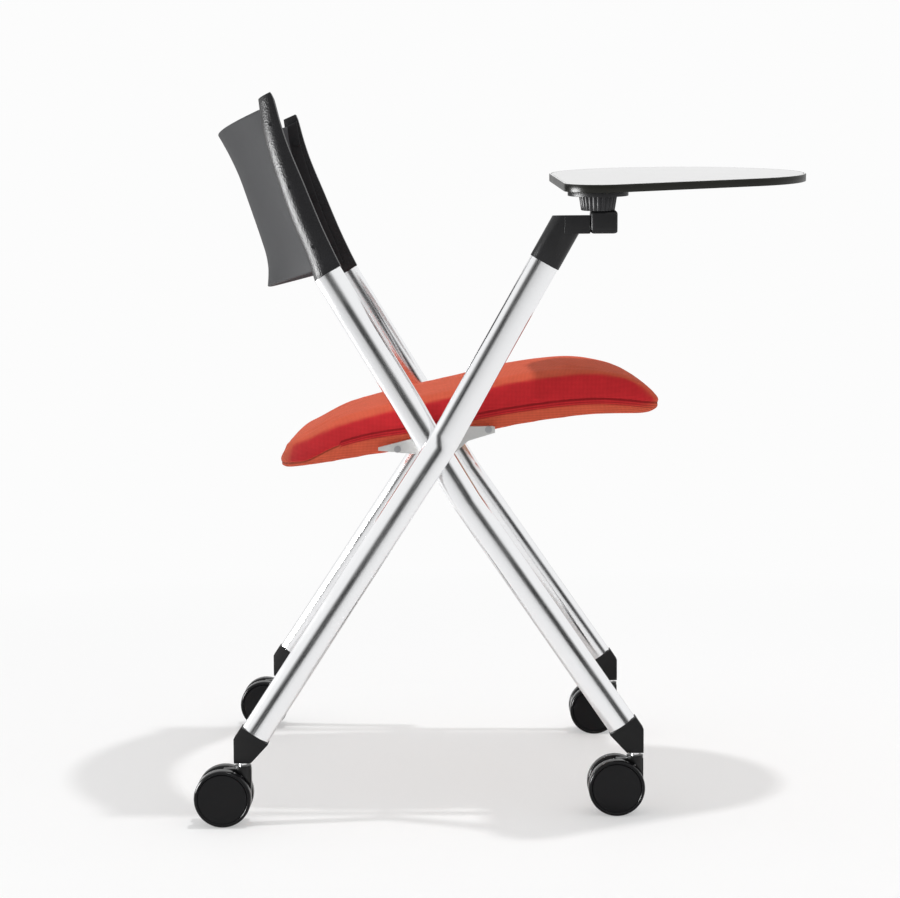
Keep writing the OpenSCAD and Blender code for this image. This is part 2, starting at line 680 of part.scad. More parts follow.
// Round the half section from the underside's middle: half width share, then height within the
// lower part up to the seam as a negative step to zero, or within the upper part as a share
section_shares = [[0, -1], [0.3, -0.997], [0.6, -0.988], [0.9, -0.965],
  [0.945, -0.5], [0.98, -0.06], [0.978, 0.02],
  [0.998, 0.12], [1, 0.3], [1, 0.5], [0.995, 0.65], [0.98, 0.78], [0.95, 0.87], [0.88, 0.925],
  [0.7, 0.955], [0.4, 0.985], [0, 1]];
seat_steps = 2;

function smooth(a, b, c, d, t) = ((2 * b) + (c - a) * t + (2 * a - 5 * b + 4 * c - d) * t * t
  + (3 * b - a - 3 * c + d) * t * t * t) / 2;
seat_count = len(seat_shares) - 1;
function seat_row(i) = seat_shares[max(0, min(seat_count, i))];
function seat_station(k) = let (i = min(seat_count - 1, floor(k / seat_steps)), t = k / seat_steps - i)
  [for (c = [0:4]) smooth(seat_row(i - 1)[c], seat_row(i)[c], seat_row(i + 1)[c], seat_row(i + 2)[c], t)];
function seat_z(row, h) = seat_z0 + seat_high
  * (h < 0 ? row[3] + h * (row[3] - row[2]) : row[3] + h * (row[1] - row[3]));
function seat_ring(k) = let (row = seat_station(k), n = len(section_shares) - 1)
  [for (i = [0:n]) [seat_x0 + row[0] * seat_len, -seat_half * row[4] * section_shares[i][0],
      seat_z(row, section_shares[i][1])],
    for (i = [n - 1:-1:1]) [seat_x0 + row[0] * seat_len, seat_half * row[4] * section_shares[i][0],
      seat_z(row, section_shares[i][1])]];
cushion_rings = [for (k = [0:seat_count * seat_steps]) seat_ring(k)];

module cushion_skin() {
  rings = cushion_rings;
  n = len(rings[0]);
  m = len(rings);
  half = n / 2;
  sides = [for (k = [0:m - 2]) for (i = [0:n - 1])
    let (a = k * n + i, b = k * n + (i + 1) % n) each [[a, b, a + n], [b, b + n, a + n]]];
  cap = [for (i = [1:half - 2]) each [[i, i + 1, n - i], [i + 1, n - i - 1, n - i]]];
  ends = [each cap, [0, 1, n - 1], [half - 1, half, half + 1]];
  back = [for (t = ends) [for (v = [2, 1, 0]) t[v]]];
  front = [for (t = ends) [for (v = t) v + (m - 1) * n]];
  polyhedron([for (r = rings) each r], [each sides, each back, each front]);
}

// The pan lies in the underside of the cushion
pan_shares = [0.134, 0.247, 0.345, 0.477, 0.608, 0.74, 0.834, 0.907];
pan_half_share = 0.82;
pan_up = 1;
under_shares = [for (row = seat_shares) [row[0], row[2]]];
function under_z(s) = seat_z0 + seat_high * lookup(s, under_shares);
module pan_solid(grow, below) translate([0, seat_half * pan_half_share + grow, 0]) rotate([90, 0, 0])
  linear_extrude(2 * (seat_half * pan_half_share + grow)) polygon([
    for (s = pan_shares) [pan_x(s, grow), under_z(s) + pan_up - below],
    for (i = [len(pan_shares) - 1:-1:0])
      [pan_x(pan_shares[i], grow), under_z(pan_shares[i]) + pan_up + pan_t + grow]]);
function pan_x(s, grow) = seat_x0 + s * seat_len
  + (s == pan_shares[0] ? -grow : s == pan_shares[len(pan_shares) - 1] ? grow : 0);

module seat_pan() color("tan") difference() {
  pan_solid(0, 0);
  bracket_screw_axes() cylinder(d = pan_screw_d + 2 * press_gap, h = 2 * seat_half, center = true);
}

module seat_cushion() color([0.9, 0.25, 0.12]) difference() {
  cushion_skin();
  pan_solid(press_gap, pan_up + overrun + seat_drop);
  for (left = [false, true]) mirrored(left) bracket_room();
  bracket_screw_axes() cylinder(d = peg_d + 2 * seat_fit, h = 2 * seat_half, center = true);
}

// Brackets of cast metal that hang the pan on the cross tube
hub_ring_wall = 4.5;
hub_ring_d = cross_tube_d + 2 * hub_ring_wall;
bracket_deep = 19;

module bracket_outline(grow) {
  translate([seat_axis[0], seat_axis[2]]) circle(d = hub_ring_d + 2 * grow);
  polygon([
    for (p = bracket_top_shares) [bracket_x(p[0]) + sign(p[0]) * grow,
      seat_axis[2] + p[1] * bracket_high + grow],
    for (p = bracket_low_shares) [bracket_x(p[0]) + sign(p[0]) * grow,
      seat_axis[2] + p[1] * bracket_high - grow]]);
}

module bracket_room() translate([0, -bracket_in + seat_fit, 0]) rotate([90, 0, 0])
  linear_extrude(bracket_deep) bracket_outline(seat_fit);

pan_screw_d = 5;
peg_d = pan_t - pan_up;
pan_screw_shares = [-0.671, 0.888];
bracket_screw_head = 3;
bracket_screw_in = 14;
pan_edge = seat_half * pan_half_share;
// The screws go through the brackets at shares of their reach
function foot_z(s) = under_z((bracket_x(s) - seat_x0) / seat_len) + pan_up;
module bracket_screw_axes() for (s = pan_screw_shares) for (left = [false, true]) mirrored(left)
  translate([bracket_x(s), 0, foot_z(s) + pan_t / 2]) rotate([90, 0, 0]) children();

// Each bracket reaches the pan's edge and takes a screw into it from the side
module seat_bracket(left) color("lightgray") mirrored(left) difference() {
  union() {
    translate([0, -bracket_in, 0]) rotate([90, 0, 0]) linear_extrude(bracket_t) bracket_outline(0);
    for (s = pan_screw_shares) translate([bracket_x(s), -bracket_in, foot_z(s) + pan_t / 2])
      rotate([-90, 0, 0]) cylinder(d = peg_d, h = bracket_in - pan_edge - press_gap);
  }
  translate(seat_axis) rotate([90, 0, 0])
    cylinder(d = cross_tube_d + 2 * run_fit, h = 2 * inner_half, center = true);
  bracket_screw_axes() cylinder(d = pan_screw_d + 2 * press_gap, h = 2 * inner_half, center = true);
}

module bracket_screws() color("dimgray") for (s = pan_screw_shares) for (left = [false, true])
  mirrored(left) translate([bracket_x(s), -bracket_out - bracket_screw_head / 2, foot_z(s) + pan_t / 2])
    rotate([-90, 0, 0]) {
      cylinder(d = pan_screw_d + bracket_screw_head, h = bracket_screw_head / 2);
      cylinder(d = pan_screw_d, h = bracket_out + bracket_screw_in - pan_edge);
    }

back_tube(false);  // back_tube_right
back_tube(true);  // back_tube_left
arm_tube_right();
rear_leg_tube_left();
rear_leg_plug_left();
crossing_spacers();
crossing_bolts();
cross_tube();
seat_stop_pins();
upright(false);  // upright_right
upright(true);  // upright_left
back_shell();
shell_screws();
rear_cap(false);  // leg_cap_rear_right
rear_cap(true);  // leg_cap_rear_left
front_cap(false);  // leg_cap_front_right
front_cap(true);  // leg_cap_front_left
arm_sleeve();
fold_pin();
tablet_knuckle();
ribbed_hub();
swivel_spindle();
mounting_plate();
plate_screws();
tablet_board();
tablet_edge_band();
tablet_screw_caps();
seat_cushion();
seat_pan();
seat_bracket(false);  // seat_bracket_right
seat_bracket(true);  // seat_bracket_left
bracket_screws();
caster_stem(rear_swivel, false);  // caster_stem_rear_right
caster_body(rear_swivel, false);  // caster_body_rear_right
caster_axle(rear_swivel, false);  // caster_axle_rear_right
wheel(rear_swivel, false, 0);  // wheel_rear_right_outer
wheel(rear_swivel, false, 1);  // wheel_rear_right_inner
caster_stem(rear_swivel, true);  // caster_stem_rear_left
caster_body(rear_swivel, true);  // caster_body_rear_left
caster_axle(rear_swivel, true);  // caster_axle_rear_left
wheel(rear_swivel, true, 0);  // wheel_rear_left_outer
wheel(rear_swivel, true, 1);  // wheel_rear_left_inner
caster_stem(front_swivel, false);  // caster_stem_front_right
caster_body(front_swivel, false);  // caster_body_front_right
caster_axle(front_swivel, false);  // caster_axle_front_right
wheel(front_swivel, false, 0);  // wheel_front_right_outer
wheel(front_swivel, false, 1);  // wheel_front_right_inner
caster_stem(front_swivel, true);  // caster_stem_front_left
caster_body(front_swivel, true);  // caster_body_front_left
caster_axle(front_swivel, true);  // caster_axle_front_left
wheel(front_swivel, true, 0);  // wheel_front_left_outer
wheel(front_swivel, true, 1);  // wheel_front_left_inner
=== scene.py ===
import math

import bmesh
import bpy
from mathutils import Matrix, Vector


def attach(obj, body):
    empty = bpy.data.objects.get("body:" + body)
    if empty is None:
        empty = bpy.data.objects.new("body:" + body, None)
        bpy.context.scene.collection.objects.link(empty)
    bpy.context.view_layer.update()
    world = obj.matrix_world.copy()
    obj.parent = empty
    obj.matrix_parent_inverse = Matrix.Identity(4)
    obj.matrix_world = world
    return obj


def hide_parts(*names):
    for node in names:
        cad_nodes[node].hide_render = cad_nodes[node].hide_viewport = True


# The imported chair
# The CAD solids stand in their places, in metres, with the origin on the floor.
# Each section below builds one piece, or a group of like pieces, over them.
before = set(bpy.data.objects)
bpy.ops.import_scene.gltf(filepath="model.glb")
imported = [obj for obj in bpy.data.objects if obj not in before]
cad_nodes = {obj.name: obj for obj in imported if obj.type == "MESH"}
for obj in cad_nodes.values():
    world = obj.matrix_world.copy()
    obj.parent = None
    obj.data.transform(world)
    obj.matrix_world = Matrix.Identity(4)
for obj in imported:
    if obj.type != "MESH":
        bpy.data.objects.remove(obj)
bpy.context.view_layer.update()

# Polished oval tubes
# Two steel tubes of 34 by 18 mm cross on each side. All are bent once on a former, apart
# from the short left rear leg. They are polished along their length and plated, which
# leaves faint soft streaks.
tube_width, tube_thickness, tube_wall = 0.034, 0.018, 0.002
tube_fullness = 0.98
oval_sides = 72
bend_radius, bend_steps = 0.080, 8
leg_end_height = 0.102
tube_gap = 0.0028
back_bend_drop, back_top_height = 0.0575, 0.624
arm_bend_rise, arm_end_drop, fold_height = 0.011, 0.008, 0.675


def rising(slope, lean, forward):
    """How far a tube travels for each metre that it rises."""
    return Vector((forward / math.tan(math.radians(slope)), math.tan(math.radians(lean)), 1))


crossing = Vector((-0.0835, -0.206, 0.419))
outer_crossing = crossing - Vector((0, tube_thickness + tube_gap, 0))
up_back = rising(58.8, 2.79, -1)
up_front_leg = rising(55.5, 2.79, -1)
up_rear_leg = rising(56.7, 6.95, 1)
up_arm = rising(60.6, -5.85, 1)
back_bend = crossing - back_bend_drop * up_back
back_top = crossing + (back_top_height - crossing.z) * up_back
front_foot = back_bend - (back_bend.z - leg_end_height) * up_front_leg
arm_bend = outer_crossing + arm_bend_rise * up_rear_leg
rear_foot = outer_crossing - (outer_crossing.z - leg_end_height) * up_rear_leg
short_leg_top = outer_crossing + tube_width / 2 * up_rear_leg.normalized()
arm_at_fold = arm_bend + (fold_height - arm_bend.z) * up_arm
arm_end = arm_at_fold - arm_end_drop * up_arm


def add_node(tree, kind, sockets, **settings):
    """A shader node with its settings, and a value or a link for each socket named."""
    made = tree.nodes.new("ShaderNode" + kind)
    for key, value in settings.items():
        setattr(made, key, value)
    for socket, value in sockets.items():
        if isinstance(value, bpy.types.NodeSocket):
            tree.links.new(value, made.inputs[socket])
        else:
            made.inputs[socket].default_value = value
    return made


def effect_group(name, inputs, outputs):
    """An empty shader group, with its ways in and out."""
    group = bpy.data.node_groups.new(name, "ShaderNodeTree")
    for label, (kind, value) in inputs.items():
        socket = group.interface.new_socket(label, in_out="INPUT", socket_type="NodeSocket" + kind)
        if value is not None:
            socket.default_value = value
    for label, kind in outputs.items():
        group.interface.new_socket(label, in_out="OUTPUT", socket_type="NodeSocket" + kind)
    return group, group.nodes.new("NodeGroupInput").outputs, group.nodes.new("NodeGroupOutput").inputs


def new_finish(name, colour, roughness, metallic=0.0, **sockets):
    """A material and its shader, with the values that are the same all over."""
    finish = bpy.data.materials.new(name)
    finish.use_nodes = True
    shader = finish.node_tree.nodes["Principled BSDF"]
    shader.inputs["Base Color"].default_value = (*colour, 1)
    shader.inputs["Roughness"].default_value = roughness
    shader.inputs["Metallic"].default_value = metallic
    for socket, value in sockets.items():
        shader.inputs[socket.replace("_", " ")].default_value = value
    return finish, finish.node_tree, shader


def object_place(tree):
    return tree.nodes.new("ShaderNodeTexCoord").outputs["Object"]


def bump(tree, shader, height, strength, distance):
    """Raises the surface by a height pattern."""
    made = add_node(tree, "Bump", {"Height": height, "Strength": strength, "Distance": distance})
    tree.links.new(made.outputs["Normal"], shader.inputs["Normal"])


def make_streaks():
    """Faint streaks along a piece, with patches that are a little duller."""
    group, put, out = effect_group(
        "polishing_streaks",
        {"Run": ("Vector", None), "Dullest": ("Float", 0.2), "Brightest": ("Float", 0.1)},
        {"Roughness": "Float", "Height": "Float"},
    )
    drawn = add_node(group, "Mapping", {"Vector": put["Run"], "Scale": (1, 1, 0.012)})
    fine = add_node(group, "TexNoise", {"Vector": drawn.outputs[0], "Scale": 1400, "Detail": 3})
    patch = add_node(group, "TexNoise", {"Vector": put["Run"], "Scale": 14, "Detail": 2})
    both = add_node(group, "Mix", {"Factor": 0.45, "A": fine.outputs[0], "B": patch.outputs[0]})
    rough = add_node(
        group,
        "MapRange",
        {"Value": both.outputs[0], "From Min": 0.35, "From Max": 0.65,
         "To Min": put["Brightest"], "To Max": put["Dullest"]},
    )
    group.links.new(rough.outputs[0], out["Roughness"])
    group.links.new(fine.outputs[0], out["Height"])
    return group


polishing_streaks = make_streaks()


def make_tube_finish():
    finish, tree, shader = new_finish("polished_plating", (0.86, 0.865, 0.875), 0.14, 1.0)
    run = add_node(tree, "Attribute", {}, attribute_name="run")
    streaks = tree.nodes.new("ShaderNodeGroup")
    streaks.node_tree = polishing_streaks
    tree.links.new(run.outputs["Vector"], streaks.inputs["Run"])
    streaks.inputs["Brightest"].default_value = 0.09
    streaks.inputs["Dullest"].default_value = 0.19
    tree.links.new(streaks.outputs["Roughness"], shader.inputs["Roughness"])
    bump(tree, shader, streaks.outputs["Height"], 0.05, 0.0002)
    return finish


polished_plating = make_tube_finish()


def verts_of(parts):
    """The vertices among the parts that an operator made."""
    return [part for part in parts if isinstance(part, bmesh.types.BMVert)]


def carry_on(mesh, loop, move, length):
    """Extrudes a loop of edges by one move and counts the length of the run."""
    made = bmesh.ops.extrude_edge_only(mesh, edges=loop)["geom"]
    verts = set(verts_of(made))
    bmesh.ops.transform(mesh, matrix=move, verts=list(verts))
    run = mesh.verts.layers.float_vector["run"]
    for vert in verts:
        vert[run] = vert[run] + Vector((0, 0, length))
    return [part for part in made if isinstance(part, bmesh.types.BMEdge) and set(part.verts) <= verts]


def oval_skin(mesh, foot, steps, wide, along, width, thickness):
    """One skin of an oval tube from its foot through the steps given, and its two end loops."""
    run = mesh.verts.layers.float_vector["run"]
    ring = bmesh.ops.create_circle(mesh, segments=oval_sides, radius=0.5)["verts"]
    for vert in ring:
        vert.co.x = math.copysign(abs(2 * vert.co.x) ** tube_fullness / 2, vert.co.x)
        vert.co.y = math.copysign(abs(2 * vert.co.y) ** tube_fullness / 2, vert.co.y)
        vert[run] = (vert.co.x * width, vert.co.y * thickness, 0)
    turn = Matrix((wide * width, along.cross(wide) * thickness, along)).transposed().to_4x4()
    bmesh.ops.transform(mesh, matrix=Matrix.Translation(foot) @ turn, verts=ring)
    first = last = list({edge for vert in ring for edge in vert.link_edges})
    for move, length in steps:
        last = carry_on(mesh, last, move, length)
    return first, last


def bent_steps(foot, bend, top):
    """The moves of a tube that is bent once, and its frame at the foot."""
    lower, upper = (bend - foot).normalized(), (top - bend).normalized()
    axis = lower.cross(upper).normalized()
    outward = lower.cross(axis)
    turn = lower.angle(upper)
    setback = bend_radius * math.tan(turn / 2)
    centre = Matrix.Translation(bend - setback * lower - bend_radius * outward)
    step = centre @ Matrix.Rotation(turn / bend_steps, 4, axis) @ centre.inverted()
    before, after = (bend - foot).length - setback, (top - bend).length - setback
    steps = [(Matrix.Translation(before * lower), before)]
    steps += [(step, bend_radius * turn / bend_steps)] * bend_steps
    steps += [(Matrix.Translation(after * upper), after)]
    return steps, lower, outward


def finished_piece(name, mesh, finish, slot, body, *stands_for, crease=32):
    """Makes a mesh a piece that rides on a body and stands for CAD nodes."""
    bmesh.ops.recalc_face_normals(mesh, faces=mesh.faces)
    data = bpy.data.meshes.new(name)
    mesh.to_mesh(data)
    mesh.free()
    data.polygons.foreach_set("use_smooth", [True] * len(data.polygons))
    data.set_sharp_from_angle(angle=math.radians(crease))
    data.materials.append(finish)
    piece = bpy.data.objects.new(name, data)
    bpy.context.scene.collection.objects.link(piece)
    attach(piece, body)
    if stands_for:
        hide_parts(*stands_for)
    return piece


def mirrored_for(mesh, side):
    """Turns a right-hand mesh into its left-hand twin."""
    if side == "left":
        bmesh.ops.scale(mesh, vec=(1, -1, 1), verts=mesh.verts)


def oval_tube(name, side, foot, steps, wide, along, *stands_for):
    """A hollow oval tube: an outer and an inner skin, joined at both ends."""
    mesh = bmesh.new()
    mesh.verts.layers.float_vector.new("run")
    outer = oval_skin(mesh, foot, steps, wide, along, tube_width, tube_thickness)
    inner = oval_skin(mesh, foot, steps, wide, along,
                      tube_width - 2 * tube_wall, tube_thickness - 2 * tube_wall)
    for around, within in zip(outer, inner):
        bmesh.ops.bridge_loops(mesh, edges=around + within)
    mirrored_for(mesh, side)
    return finished_piece(name, mesh, polished_plating, "polished_tube", "frame", *stands_for)


for side in ("right", "left"):
    steps, along, outward = bent_steps(front_foot, back_bend, back_top)
    oval_tube(f"polished_back_tube_{side}", side, front_foot, steps, outward, along, f"back_tube_{side}")
sideways = Vector((0, 1, 0))
steps, along, outward = bent_steps(rear_foot, arm_bend, arm_end)
oval_tube("polished_arm_tube", "right", rear_foot, steps,
          sideways.cross(along).normalized(), along, "arm_tube_right")
along = up_rear_leg.normalized()
leg_run = short_leg_top - rear_foot
oval_tube("polished_rear_leg_left", "left", rear_foot, [(Matrix.Translation(leg_run), leg_run.length)],
          sideways.cross(along).normalized(), along, "rear_leg_tube_left")

# Cast brackets, plug and steel fasteners
# The plug, the seat brackets and the spacers are cast or turned metal with a satin skin.
# Bolts, pins, screws, stems and axles are plain steel that keeps its turning marks.
def make_cast_skin():
    """The fine orange-peel and the slight tone of a casting or moulding."""
    group, put, out = effect_group(
        "moulded_grain",
        {"Place": ("Vector", None), "Size": ("Float", 900.0), "Spread": ("Float", 0.1)},
        {"Height": "Float", "Tone": "Float"},
    )
    cells = add_node(group, "TexVoronoi", {"Vector": put["Place"], "Scale": put["Size"]},
                     feature="SMOOTH_F1")
    cloud = add_node(group, "TexNoise", {"Vector": put["Place"], "Scale": 26, "Detail": 4})
    lowest = add_node(group, "Math", {0: 1.0, 1: put["Spread"]}, operation="SUBTRACT")
    highest = add_node(group, "Math", {0: 1.0, 1: put["Spread"]}, operation="ADD")
    tone = add_node(
        group,
        "MapRange",
        {"Value": cloud.outputs[0], "From Min": 0.3, "From Max": 0.7,
         "To Min": lowest.outputs[0], "To Max": highest.outputs[0]},
    )
    group.links.new(cells.outputs["Distance"], out["Height"])
    group.links.new(tone.outputs[0], out["Tone"])
    return group


moulded_grain = make_cast_skin()


def grained_finish(name, colour, roughness, grain, depth, spread, metallic=0.0, **sockets):
    """A moulded or cast material with its grain, tone and uneven gloss."""
    finish, tree, shader = new_finish(name, colour, roughness, metallic, **sockets)
    skin = tree.nodes.new("ShaderNodeGroup")
    skin.node_tree = moulded_grain
    tree.links.new(object_place(tree), skin.inputs["Place"])
    skin.inputs["Size"].default_value = grain
    skin.inputs["Spread"].default_value = spread
    toned = add_node(tree, "VectorMath", {0: colour, "Scale": skin.outputs["Tone"]}, operation="SCALE")
    tree.links.new(toned.outputs[0], shader.inputs["Base Color"])
    gloss = add_node(tree, "Math", {0: skin.outputs["Tone"], 1: roughness}, operation="MULTIPLY")
    tree.links.new(gloss.outputs[0], shader.inputs["Roughness"])
    bump(tree, shader, skin.outputs["Height"], depth, 0.0004)
    return finish


satin_casting = grained_finish("satin_casting", (0.62, 0.62, 0.61), 0.38, 1500, 0.25, 0.08, 1.0)
plain_steel = grained_finish("plain_steel", (0.42, 0.42, 0.43), 0.3, 2400, 0.1, 0.1, 1.0)
turned_steel = grained_finish("turned_steel", (0.75, 0.75, 0.76), 0.18, 2400, 0.06, 0.1, 1.0)


def dress(finish, *names):
    """Gives CAD nodes that keep their shape a finish."""
    for name in names:
        data = cad_nodes[name].data
        data.materials.clear()
        data.materials.append(finish)


corners = ("rear_right", "rear_left", "front_right", "front_left")
dress(satin_casting, "rear_leg_plug_left", "crossing_spacers", "seat_bracket_right", "seat_bracket_left")
dress(plain_steel, "crossing_bolts", "seat_stop_pins", "bracket_screws", "plate_screws",
      "fold_pin", "swivel_spindle")
dress(turned_steel, "cross_tube",
      *[f"caster_{part}_{corner}" for part in ("stem", "axle") for corner in corners])

# Uprights
# Two blades of black moulded plastic push into the tops of the back tubes.
# Their rear edge is fully rounded, and a coarse grain catches the light along it.
black_moulding = grained_finish("black_moulding", (0.010, 0.010, 0.0115), 0.4, 560, 1.0, 0.1,
                                Specular_IOR_Level=0.25)
upright_length, upright_thickness = 0.212, 0.020
rear_edge_shares = [(0, -0.52), (0.06, -0.42), (0.17, -0.28), (0.347, -0.12), (0.575, 0.182),
                    (0.815, 0.579), (0.95, 0.93), (1, 1.07)]
front_edge_shares = [(0, 0.52), (0.08, 0.56), (0.25, 0.68), (0.494, 0.918), (0.7, 1.12),
                     (0.831, 1.31), (0.96, 1.545), (0.99, 1.56)]
rear_round, rear_turn, round_steps, crisp_round = 0.017, 0.0185, 12, 0.0012
blade_up = up_back.normalized()
slope_back = math.radians(58.8)
blade_front = Vector((math.sin(slope_back), 0, math.cos(slope_back)))
blade_front = (blade_front - blade_front.dot(blade_up) * blade_up).normalized()
blade_side = blade_up.cross(blade_front)


def eased(points, share):
    """A smooth curve through points (place, value), read at one place."""
    last = len(points) - 1
    step = next((i for i in range(last) if share <= points[i + 1][0]), last - 1)
    (x0, y0), (x1, y1) = points[step], points[step + 1]
    before, after = points[max(step - 1, 0)], points[min(step + 2, last)]
    slope0 = (y1 - before[1]) / (x1 - before[0])
    slope1 = (after[1] - y0) / (after[0] - x0)
    t, span = (share - x0) / (x1 - x0), x1 - x0
    return ((2 * t**3 - 3 * t**2 + 1) * y0 + (t**3 - 2 * t**2 + t) * span * slope0
            + (3 * t**2 - 2 * t**3) * y1 + (t**3 - t**2) * span * slope1)


def on_blade(up_share, forward, inward):
    """A point of the right upright: along it, forward of its middle line and towards the sitter."""
    return back_top + up_share * upright_length * blade_up + forward * blade_front + inward * blade_side


def sharp_edges(mesh, degrees):
    """Edges where two faces meet at more than an angle."""
    return [edge for edge in mesh.edges if len(edge.link_faces) == 2
            and edge.calc_face_angle(0) > math.radians(degrees)]


def rounded(mesh, edges, radius, segments, clamp=True):
    bmesh.ops.bevel(mesh, geom=edges, offset=radius, offset_type="OFFSET", segments=segments,
                    profile=0.5, affect="EDGES", clamp_overlap=clamp, material=-1)


upright_steps, front_drop, blade_corner = 30, 0.01, 50


def blade_ring(share):
    """The outline of the blade cut across, from its front edge round the rounded rear one."""
    rear = eased(rear_edge_shares, share) * tube_width
    front = eased(front_edge_shares, share * (1 - front_drop)) * tube_width
    outer, inner = -upright_thickness / 2, upright_thickness / 2
    corners_round = [(front, outer), (front, inner), (rear, inner)]
    for step in range(round_steps + 1):
        turn = step / round_steps * math.pi / 2
        corners_round.append((rear + rear_round * (1 - math.cos(turn)),
                              outer + rear_turn * (1 - math.sin(turn))))
    return [on_blade(share * (1 - front_drop * (ahead - rear) / (front - rear)), ahead, inward)
            for ahead, inward in corners_round]


for side in ("right", "left"):
    mesh = bmesh.new()
    loops = []
    for step in range(upright_steps + 1):
        verts = [mesh.verts.new(point) for point in blade_ring(step / upright_steps)]
        loops.append([mesh.edges.new(pair) for pair in zip(verts, verts[1:] + verts[:1])])
    for lower, upper in zip(loops, loops[1:]):
        bmesh.ops.bridge_loops(mesh, edges=lower + upper)
    for end in (loops[0], loops[-1]):
        bmesh.ops.contextual_create(mesh, geom=end)
    bmesh.ops.recalc_face_normals(mesh, faces=mesh.faces)
    rounded(mesh, sharp_edges(mesh, blade_corner), crisp_round, 2)
    mirrored_for(mesh, side)
    finished_piece(f"moulded_upright_{side}", mesh, black_moulding, "black_plastic", "frame",
                   f"upright_{side}")

# Back shell
# One dark grey moulded sheet, 4 mm thick, curves round the sitter's back between the uprights.
# Its top and bottom roll outwards, and side flanges of the same sheet take three screws into each upright.
# The flanges are coloured near black as painted shade, and the screws share that finish.
def held_to_one(value):
    """A value held between 0 and 1."""
    return min(1, max(0, value))


shell_finish = grained_finish("shell_moulding", (0.064, 0.066, 0.070), 0.55, 2600, 0.22, 0.05,
                              Specular_IOR_Level=0.08)
shell_thickness, shell_depth, shell_lip, shell_dip = 0.004, 0.050, 0.017, 0.0195
shell_reach = (0.05, 0.95)
shell_flange, flange_from, flange_slack = 0.0185, 1.3, 0.001
shell_gap, shell_edge, square_corner = 0.0003, 0.0012, 60
side_rise, side_drift = 0.001, 0.0006
lip_roll_shares = [(0, 1), (0.06, 0.72), (0.14, 0.4), (0.25, 0.12), (0.4, 0), (0.6, 0), (0.75, 0.08),
                   (0.87, 0.35), (0.95, 0.72), (1, 1)]
shell_rows, shell_columns = 48, 56
shell_inset = upright_thickness / 2 + shell_gap + shell_thickness
mesh = bmesh.new()
bmesh.ops.create_grid(mesh, x_segments=shell_columns, y_segments=shell_rows, size=1)
for vert in mesh.verts:
    across, up = vert.co.x, (vert.co.y + 1) / 2
    share = shell_reach[0] + up * (shell_reach[1] - shell_reach[0])
    edge_place = on_blade(share, eased(rear_edge_shares, share) * tube_width + shell_thickness, shell_inset)
    deep = shell_depth + shell_lip * eased(lip_roll_shares, up)
    bulge = 1 - across**2
    vert.co = (edge_place.x - deep * bulge, abs(edge_place.y) * across, edge_place.z - shell_dip * bulge)
side_edges = [edge for edge in mesh.edges if edge.is_boundary
              and abs(edge.verts[0].co.z - edge.verts[1].co.z) > side_rise
              and abs(edge.verts[0].co.y - edge.verts[1].co.y) < side_drift]
made = bmesh.ops.extrude_edge_only(mesh, edges=side_edges)["geom"]
bmesh.ops.translate(mesh, vec=(shell_flange - shell_thickness) * blade_front, verts=verts_of(made))
bmesh.ops.recalc_face_normals(mesh, faces=mesh.faces)
if sum(face.normal.x for face in mesh.faces) > 0:
    bmesh.ops.reverse_faces(mesh, faces=mesh.faces)
bmesh.ops.solidify(mesh, geom=mesh.faces[:], thickness=-shell_thickness)
rounded(mesh, sharp_edges(mesh, square_corner), shell_edge, 3)
shell = finished_piece("curved_back_shell", mesh, shell_finish, "shell_plastic", "frame", "back_shell")
# Painted shade: a near-black copy of the shell's finish for the shell's own flanges, also given to the shell
# screws.
flange_painted_shade = grained_finish("flange_moulding_painted_shade", (0.012, 0.012, 0.0135), 0.5, 2600, 0.22, 0.05,
                               Specular_IOR_Level=0.2)
shell.data.materials.append(flange_painted_shade)
# Faces of the flanges take the painted shade.
for face in shell.data.polygons:
    place = Vector((face.center.x, -abs(face.center.y), face.center.z)) - back_top
    up_share = place.dot(blade_up) / upright_length
    ahead = place.dot(blade_front) - eased(rear_edge_shares, held_to_one(up_share)) * tube_width
    near_side = place.dot(blade_side) < shell_inset + flange_slack
    face.material_index = int(near_side and ahead > shell_thickness * flange_from)
dress(flange_painted_shade, "shell_screws")

# Leg caps
# Each tube ends in a black moulded boot that turns the sloping leg into a level seat for
# the caster stem. Its flat faces meet in small roundings left by the mould.
boot_plastic = grained_finish("boot_plastic", (0.009, 0.009, 0.0095), 0.5, 2200, 0.25, 0.06,
                              Specular_IOR_Level=0.2)
boot_round = 0.0012
weld, flat_within, cad_corner = 2e-6, 0.3, 30


def softened(name, node, radius, finish, slot, body, clamp=True):
    """A merged copy of a CAD node with its sharp edges rounded, which stands for the node."""
    mesh = bmesh.new()
    mesh.from_mesh(cad_nodes[node].data)
    bmesh.ops.remove_doubles(mesh, verts=mesh.verts[:], dist=weld)
    bmesh.ops.dissolve_limit(mesh, angle_limit=math.radians(flat_within), verts=mesh.verts[:],
                             edges=mesh.edges[:])
    rounded(mesh, sharp_edges(mesh, cad_corner), radius, 3, clamp=clamp)
    return finished_piece(name, mesh, finish, slot, body, node, crease=40)


for corner in corners:
    softened(f"moulded_boot_{corner}", f"leg_cap_{corner}", boot_round, boot_plastic,
             "black_plastic", "frame")

